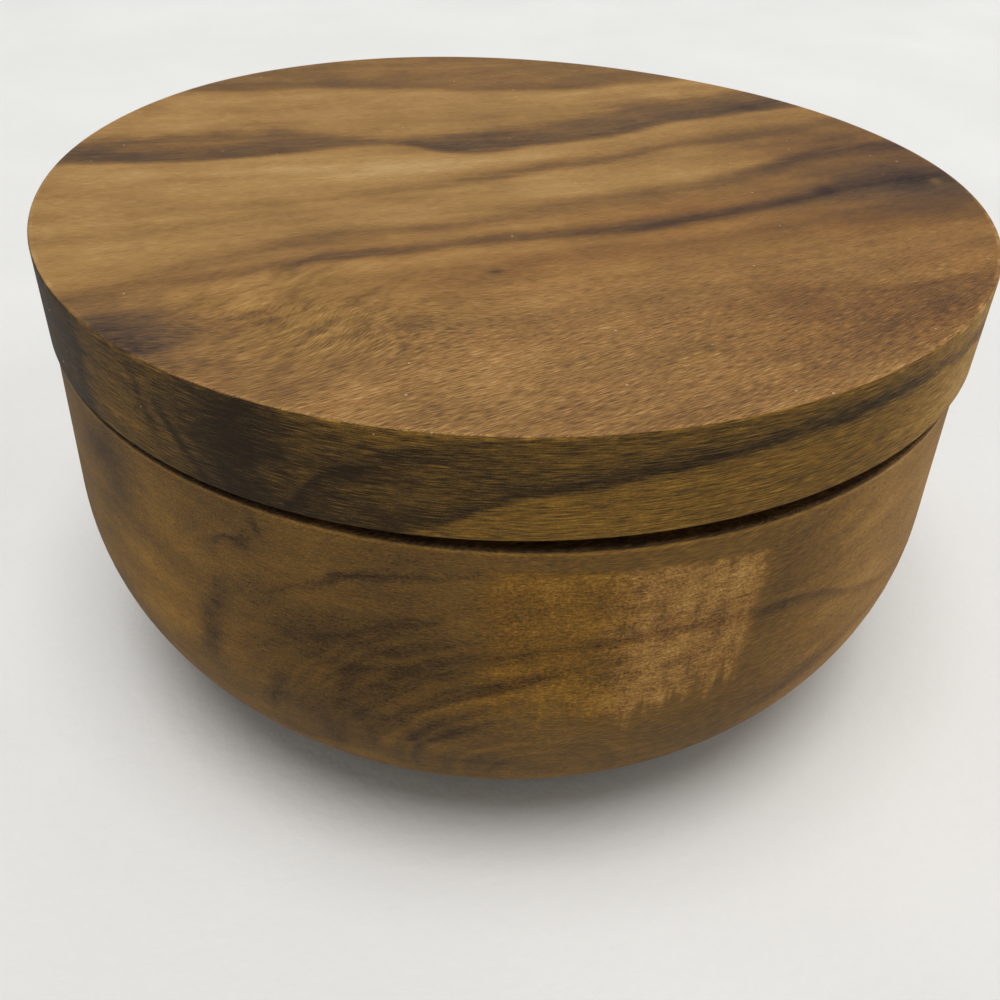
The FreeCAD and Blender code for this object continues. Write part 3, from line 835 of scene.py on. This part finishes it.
# painted shade: the rim's top is darker, most of all at its outer part, where the lid above shades
# the seam
rim_top_shade = soft_step(drop, 0.40, 0.20)
rim_outer_shade = rim_top_shade * soft_step(radius_here, 59.0, 62.0)
marks = (level_streak * 0.22 + slant_streak * 0.25 + branch * 0.20 + back_streaks * 0.22) * rough
drawn_on = bared + golden * 0.13 - marks - brown_zone * 0.18 + arches * arch_mask * 0.62
bowl_tone = (0.43 + broad * 0.30 + cloud * 0.32 + bowl_bands * 1.3 + bowl_fibres_and_glints * 0.7
             + tool_lines * 0.35 + drawn_on * outside
             + rim_arris_highlight * 0.16 - rim_top_shade * 0.06 - rim_outer_shade * 0.22)
print("bowl tone done")

# %% Bowl finish
bowl_red = (0.25 + brown_zone * 0.4 - cloud * 0.5 + bare * 0.25 + marks * 1.5) * outside
bowl_olive = 0.80 + brown_zone * 0.2 + bare * 0.15 - right_side_lit * 0.45 - bare_right * 0.6
bowl_olive = bowl_olive.maths("MAXIMUM", 0.0)
colour = wood_colour(bowl_tone, bowl_red, bowl_olive)
relief = bowl_relief + tool_lines * 0.02 + bare * grainy * 0.08
finish(bowl_wood, colour, 0.58 + bowl_tone * 0.14 + bare * 0.12, relief, Specular_IOR_Level=0.08)

# %% [markdown]
# ## The divider
#
# The divider is a planed slat of the same wood with straight, even grain along it.

# %% Divider finish
divider_wood, (x, y, z) = new_finish("divider_wood")
layers = z + y * 0.35 + x * 0.04 + (noise(x / 40.0, y / 8.0, z / 16.0, 2.0, 0.5, 51.0) - 0.5) * 6.0
slat_bands, slat_fibres_and_glints, slat_relief = fine_grain(x, layers, y)
broad = noise(x / 90.0, layers / 6.0, y / 20.0, 2.0, 0.5, 53.0) - 0.5
slat_tone = 0.62 + broad * 0.5 + slat_bands + slat_fibres_and_glints * 0.5
colour = wood_colour(slat_tone, broad * 0.6 + 0.2, 0.3 - broad * 0.4)
finish(divider_wood, colour, 0.60 + slat_tone * 0.12, slat_relief, Specular_IOR_Level=0.08)

# %% [markdown]
# ## Metal and nylon
#
# The pin is ground steel with lines round it, the bush is turned brass that has dulled a little,
# the washer is natural nylon, milky and slightly soft to look at, and the magnets are nickel
# plated, with fine scratches from the lid sliding over them.

# %% Small parts
pin_steel, (x, y, z) = new_finish("pin_steel", tuple(middle("pivot_pin")))
ground = noise(x / 3.0, y / 3.0, z / 0.06, 3.0, 0.6, 61.0)
smear = noise(x / 2.0, y / 2.0, z / 3.0, 2.0, 0.5, 62.0)
finish(pin_steel, ramp(ground, [(0.2, tint(140, 142, 146)), (0.8, tint(196, 197, 199))]),
       0.20 + smear * 0.25, ground * 0.006, Metallic=1.0)

bush_brass, (x, y, z) = new_finish("bush_brass", tuple(middle("pivot_bush")))
turning = noise((x * x + y * y).maths("SQRT") / 0.09, z / 0.09, z * 0.0, 2.0, 0.6, 63.0)
dulling = noise(x / 2.5, y / 2.5, z / 2.5, 3.0, 0.6, 64.0)
finish(bush_brass, ramp(dulling, [(0.3, tint(146, 108, 52)), (0.7, tint(206, 166, 92))]),
       0.22 + dulling * 0.28, turning * 0.008, Metallic=1.0)

washer_nylon, (x, y, z) = new_finish("washer_nylon", tuple(middle("pivot_washer")))
milky = noise(x / 1.5, y / 1.5, z / 1.5, 3.0, 0.55, 65.0)
finish(washer_nylon, ramp(milky, [(0.3, tint(214, 208, 192)), (0.7, tint(230, 226, 214))]),
       0.38 + milky * 0.2, milky * 0.01, Subsurface_Weight=0.25, Subsurface_Scale=0.0008)

magnet_nickel, (x, y, z) = new_finish("magnet_nickel")
scratches = noise(x / 4.0, y / 0.07, z / 2.0, 3.0, 0.65, 66.0)
worn = noise(x / 2.0, y / 2.0, z / 2.0, 2.0, 0.5, 67.0)
finish(magnet_nickel, ramp(worn, [(0.3, tint(168, 165, 158)), (0.7, tint(204, 202, 196))]),
       0.16 + scratches * 0.22, scratches * 0.004, Metallic=1.0)

# %% [markdown]
# The finishes go onto the CAD nodes' own material slots; the meshes stay as they are.

# %% Finishes on the solids
finishes = {"bowl": bowl_wood, "divider": divider_wood, "pivot_pin": pin_steel,
            "pivot_bush": bush_brass, "pivot_washer": washer_nylon,
            "rim_magnet": magnet_nickel, "lid_magnet": magnet_nickel}
for node, material in finishes.items():
    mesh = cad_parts[node].data
    mesh.materials.clear()
    mesh.materials.append(material)
    print(f"{node}: {material.name}")

# %% [markdown]
# ## Floor and light
#
# The cellar stands on a plain pale floor that bends up into a wall far away, all round, so that
# no view has an edge in it. The light is soft: a broad sun from above and a little in front, which
# leaves the wall of the bowl in soft shade and a faint shadow round the foot, a weak lamp at the
# right, and an even pale sky to fill.

# %% Floor
floor_pale, (x, y, z) = new_finish("floor_pale")
mottle = noise(x / 60.0, y / 60.0, z, 3.0, 0.5, 71.0)
nap = noise(x / 2.2, y / 2.2, z, 2.0, 0.6, 72.0)
finish(floor_pale, ramp(mottle, [(0.25, tint(234, 234, 232)), (0.75, tint(241, 241, 239))]),
       0.9 + mottle * 0.05, nap * 0.15, Specular_IOR_Level=0.1)


def sweep_surface(flat=2.4, cove=0.8, top=1.6, rounds=128):
    """Grid of the sweep in metres.

    A wall comes down from the top, bends in a quarter circle of radius cove, and runs inwards.
    """
    bend = np.linspace(0, np.pi / 2, 17)
    inwards = np.linspace(flat, 0.05, 24)[1:]
    wall = np.linspace(top, cove, 7)[:-1]
    radius = np.concatenate([0 * wall + flat + cove, flat + cove * np.cos(bend), inwards])
    height = np.concatenate([wall, cove - cove * np.sin(bend), 0 * inwards])
    turn = np.linspace(0, 2 * np.pi, rounds, endpoint=False)[:, None]
    return np.stack([radius * np.cos(turn), radius * np.sin(turn), height + 0 * turn], axis=-1)


floor_mesh = turned_mesh("floor", sweep_surface(), None, (0.0, 0.0, 0.0))
floor_mesh.shade_smooth()
floor_mesh.materials.append(floor_pale)
floor = bpy.data.objects.new("floor", floor_mesh)
bpy.context.scene.collection.objects.link(floor)
print(f"floor: {len(floor_mesh.polygons)} faces")

# %% Light
daylight = bpy.data.lights.new("daylight", "SUN")
daylight.energy, daylight.angle, daylight.color = 2.05, np.radians(36.0), (1.0, 0.985, 0.965)
sun_lamp = bpy.data.objects.new("daylight", daylight)
sun_lamp.rotation_euler = Vector((0.06, 0.16, -1.0)).to_track_quat("-Z", "Y").to_euler()
bpy.context.scene.collection.objects.link(sun_lamp)

side = bpy.data.lights.new("side_fill", "AREA")
side.size, side.energy, side.color = 0.7, 0.6, (1.0, 0.985, 0.965)
side_lamp = bpy.data.objects.new("side_fill", side)
side_lamp.location = (0.75, -0.10, 0.45)
side_lamp.rotation_euler = Vector((-0.75, 0.10, -0.40)).to_track_quat("-Z", "Y").to_euler()
bpy.context.scene.collection.objects.link(side_lamp)
sky = bpy.data.worlds.new("sky")
sky.use_nodes = True
sky.node_tree.nodes["Background"].inputs["Color"].default_value = (0.93, 0.96, 1.0, 1.0)
sky.node_tree.nodes["Background"].inputs["Strength"].default_value = 0.27
bpy.context.scene.world = sky
bpy.context.scene.view_settings.view_transform = "Standard"
print(f"daylight over {np.degrees(daylight.angle):.0f} degrees of the sky")
